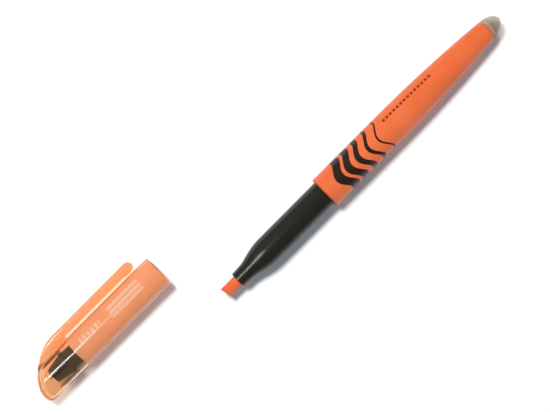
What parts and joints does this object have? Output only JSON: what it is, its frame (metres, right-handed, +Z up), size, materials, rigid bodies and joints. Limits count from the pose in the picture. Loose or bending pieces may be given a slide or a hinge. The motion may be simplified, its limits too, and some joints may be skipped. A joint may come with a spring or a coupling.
{
  "type": "capped highlighter",
  "caption": "Round-bodied capped highlighter with a chisel nib, a dark front grip and a soft rear tip, lying beside its clip cap.",
  "frame": {"origin": "middle of the whole object's box, at the plane that the pen and the cap lie on", "axes": "+X along the pen from the nib to the rear tip, +Y from the pen towards the cap beside it, +Z up"},
  "size_m": [0.1942, 0.0364, 0.0116],
  "materials": {
    "orange_plastic": "opaque orange moulding, semi-gloss",
    "black_plastic": "near-black moulding, gloss with fine turning marks",
    "inked_felt": "pressed felt soaked with orange ink",
    "inked_fibre": "bundled fibre, damp",
    "clear_film": "thin clear film",
    "vent_plastic": "milky plastic tube",
    "soft_clear_tip": "translucent grey-beige soft rubber",
    "bead_plastic": "plain",
    "seal_plastic": "near-black soft moulding",
    "clear_orange": "translucent orange moulding, gloss"
  },
  "bodies": {
    "pen": {"barrel": "orange_plastic", "front_section": "black_plastic", "nib": "inked_felt", "reservoir_core": "inked_fibre", "reservoir_sleeve": "clear_film", "breather_tube": "vent_plastic", "tail_plug": "orange_plastic", "rear_tip": "soft_clear_tip"},
    "cap_carriage": {"cap_path_bead": "bead_plastic"},
    "cap_seal": {"inner_cap": "seal_plastic"},
    "cap": {"cap_shell": "clear_orange"},
    "clip": {"cap_clip": "clear_orange"}
  },
  "joints": [
    {"name": "cap_push", "type": "slide", "parent": "pen", "child": "cap_carriage", "axis": [1, 0, 0], "range_m": [0, 0.0566]},
    {"name": "cap_align", "type": "slide", "parent": "cap_carriage", "child": "cap_seal", "axis": [0, -1, 0], "range_m": [0, 0.0208]},
    {"name": "cap_turn", "type": "hinge", "parent": "cap_seal", "child": "cap", "pos_m": [-0.069, 0.0084, 0.0058], "axis": [1, 0, 0], "continuous": true},
    {"name": "clip_flex", "type": "hinge", "parent": "cap", "child": "clip", "pos_m": [-0.07845, 0.01655, 0.0058], "axis": [0, 0, 1], "range_deg": [0, 3.5], "stiffness_Nm_per_rad": 1.1}
  ]
}
